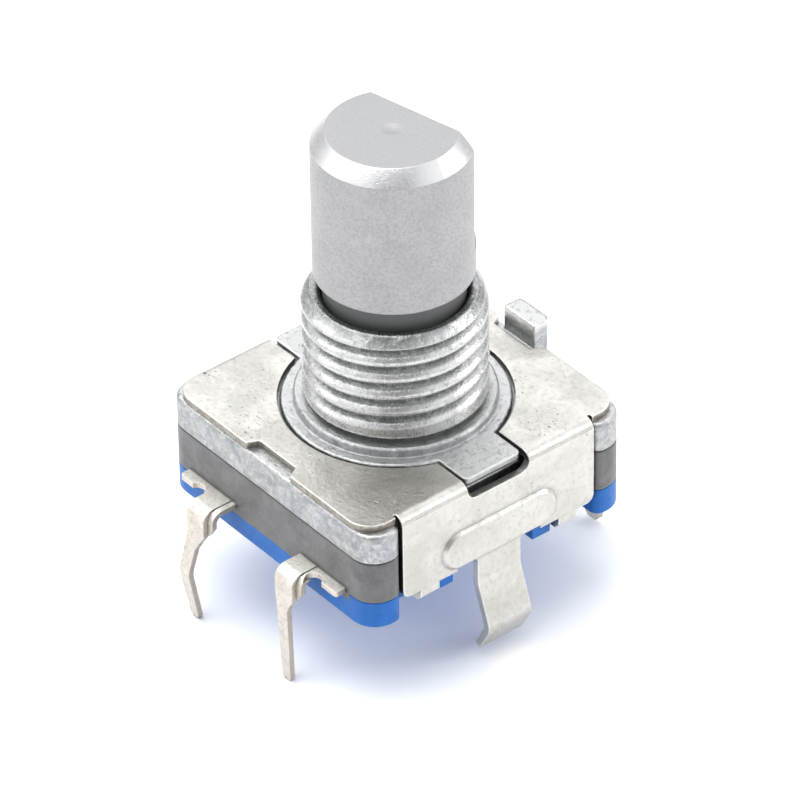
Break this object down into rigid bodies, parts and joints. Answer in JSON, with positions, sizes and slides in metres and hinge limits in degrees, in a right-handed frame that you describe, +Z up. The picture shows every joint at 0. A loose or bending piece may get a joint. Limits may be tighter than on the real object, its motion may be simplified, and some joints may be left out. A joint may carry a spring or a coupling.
{
  "type": "rotary encoder",
  "caption": "Rotary encoder with a flatted metal shaft in a threaded bushing, a folded steel cover, two plastic layers, bent pins and a push switch under the shaft.",
  "frame": {"origin": "on the shaft's axis, on the underside of the base where it meets the circuit board", "axes": "+Z up along the shaft, away from the board; -Y towards the two switch terminals, +Y towards the three encoder terminals, +X and -X towards the two mounting legs"},
  "size_m": [0.013, 0.0156, 0.0203],
  "materials": {
    "shaft_metal": "satin turned",
    "die_cast_zinc": "as cast, bright on the thread",
    "tin_plate": "tin plated sheet, lightly scratched",
    "spring_steel": "satin",
    "terminal_plate": "matte tin plate",
    "wiper_bronze": "phosphor bronze",
    "disc_brass": "plated brass",
    "grey_plastic": "matte moulded",
    "blue_plastic": "satin moulded",
    "white_plastic": "natural acetal"
  },
  "bodies": {
    "housing": {"bushing_housing": "die_cast_zinc", "cover_bracket": "tin_plate", "detent_spring": "spring_steel", "thrust_washer": "spring_steel", "wafer_body": "grey_plastic", "switch_base": "blue_plastic", "switch_dome": "spring_steel", "terminal_a": "terminal_plate", "terminal_c": "terminal_plate", "terminal_b": "terminal_plate", "wiper_a": "wiper_bronze", "wiper_c": "wiper_bronze", "wiper_b": "wiper_bronze", "switch_terminal_d": "terminal_plate", "switch_terminal_e": "terminal_plate"},
    "rotor_unit": {"rotor": "white_plastic", "code_disc": "disc_brass"},
    "shaft_unit": {"shaft": "shaft_metal", "retaining_ring": "spring_steel"},
    "plunger_unit": {"switch_plunger": "white_plastic"}
  },
  "joints": [
    {"name": "shaft_turn", "type": "hinge", "parent": "housing", "child": "rotor_unit", "pos_m": [0, 0, 0.00225], "axis": [0, 0, 1], "continuous": true},
    {"name": "shaft_push", "type": "slide", "parent": "rotor_unit", "child": "shaft_unit", "axis": [0, 0, -1], "range_m": [0, 0.0005], "stiffness_N_per_m": 8000, "deforming": ["switch_dome"]},
    {"name": "plunger_push", "type": "slide", "parent": "housing", "child": "plunger_unit", "axis": [0, 0, -1], "range_m": [0, 0.0005]}
  ],
  "couplings": [
    {"joint": "plunger_push", "follows": "shaft_push", "ratio": 1}
  ]
}
